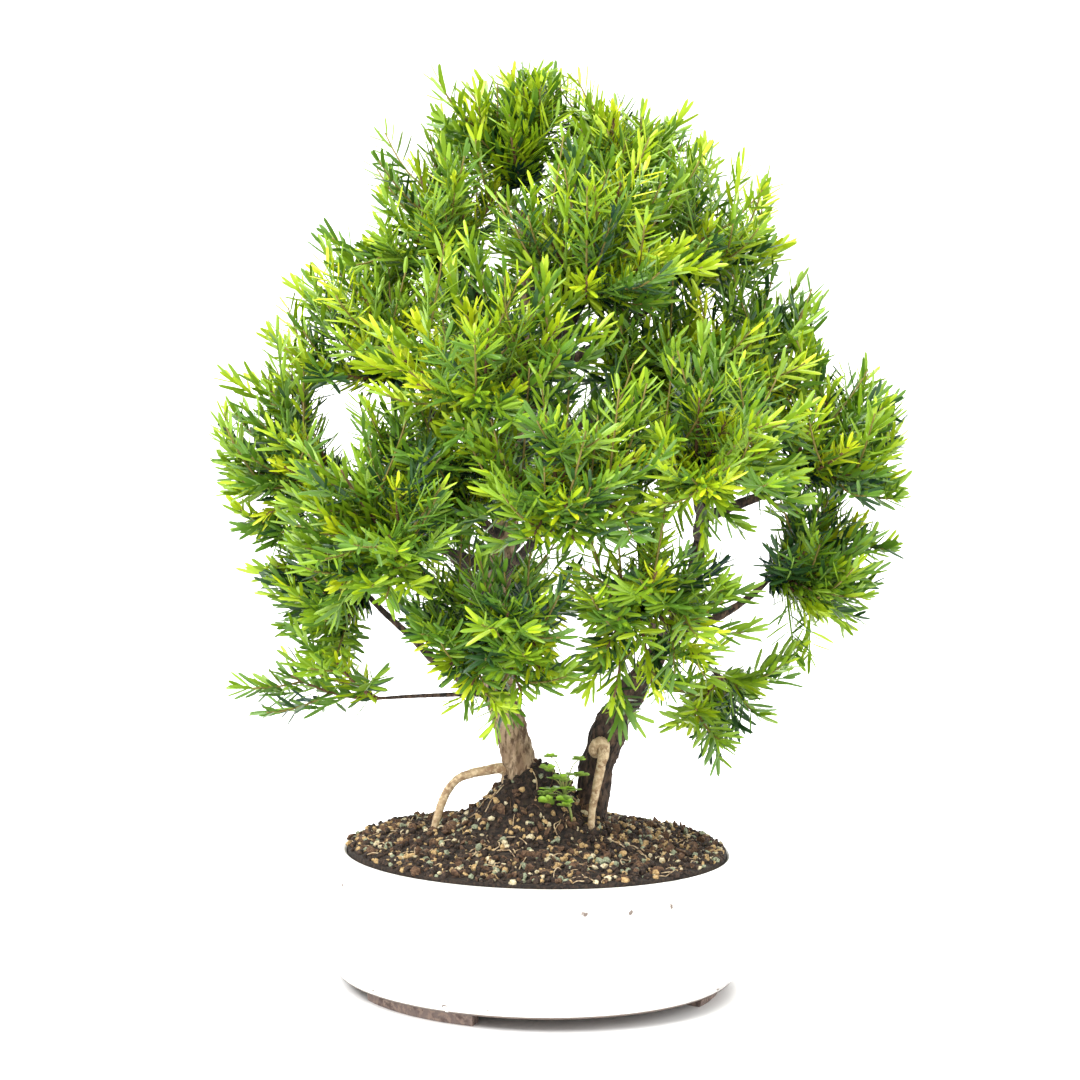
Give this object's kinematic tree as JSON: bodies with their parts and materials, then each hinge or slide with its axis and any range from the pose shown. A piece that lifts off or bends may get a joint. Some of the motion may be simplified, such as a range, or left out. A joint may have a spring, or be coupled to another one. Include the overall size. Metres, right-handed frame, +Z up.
{
  "type": "potted hybrid yew bonsai",
  "caption": "Bonsai hybrid yew with two trunks, a dense crown of needled shoots and bared roots on a soil mound in a round white glazed pot.",
  "frame": {"origin": "on the surface the pot stands on, under the middle of the whole plant's bounding box", "axes": "+Z up, -Y towards the viewer of the picture, +X to the viewer's right"},
  "size_m": [0.46, 0.3629, 0.604],
  "materials": {
    "glaze": "gloss",
    "earth": "matte",
    "light_bark": "matte",
    "dark_bark": "matte",
    "needles": "satin",
    "herb": "satin"
  },
  "bodies": {
    "root": {"bough_crown_back": "dark_bark", "bough_crown_back_left": "dark_bark", "bough_crown_back_low": "dark_bark", "bough_crown_back_right": "dark_bark", "bough_crown_back_top": "dark_bark", "bough_crown_back_upper": "dark_bark", "bough_crown_centre_left": "dark_bark", "bough_crown_centre_right": "dark_bark", "bough_crown_front": "dark_bark", "bough_crown_front_left": "dark_bark", "bough_crown_front_low": "dark_bark", "bough_crown_front_low_right": "dark_bark", "bough_crown_front_right": "dark_bark", "bough_crown_front_top": "dark_bark", "bough_crown_front_upper": "dark_bark", "bough_crown_left": "dark_bark", "bough_crown_left_hanging": "dark_bark", "bough_crown_left_low": "dark_bark", "bough_crown_left_shoulder": "dark_bark", "bough_crown_right": "dark_bark", "bough_crown_right_hanging": "dark_bark", "bough_crown_right_low": "dark_bark", "bough_crown_top_right": "dark_bark", "bough_crown_upper_left": "dark_bark", "bough_crown_upper_right": "dark_bark", "crown_back": "needles", "crown_back_left": "needles", "crown_back_low": "needles", "crown_back_right": "needles", "crown_back_top": "needles", "crown_back_upper": "needles", "crown_centre_left": "needles", "crown_centre_right": "needles", "crown_front": "needles", "crown_front_left": "needles", "crown_front_low": "needles", "crown_front_low_right": "needles", "crown_front_right": "needles", "crown_front_top": "needles", "crown_front_upper": "needles", "crown_left": "needles", "crown_left_hanging": "needles", "crown_left_low": "needles", "crown_left_shoulder": "needles", "crown_right": "needles", "crown_right_hanging": "needles", "crown_right_low": "needles", "crown_right_upper": "needles", "crown_top": "needles", "crown_top_right": "needles", "crown_upper_left": "needles", "crown_upper_right": "needles", "pot": "glaze", "root_front": "light_bark", "root_left": "light_bark", "soil": "earth", "trunk_left": "light_bark", "trunk_right": "dark_bark", "weed": "herb"}
  },
  "joints": []
}
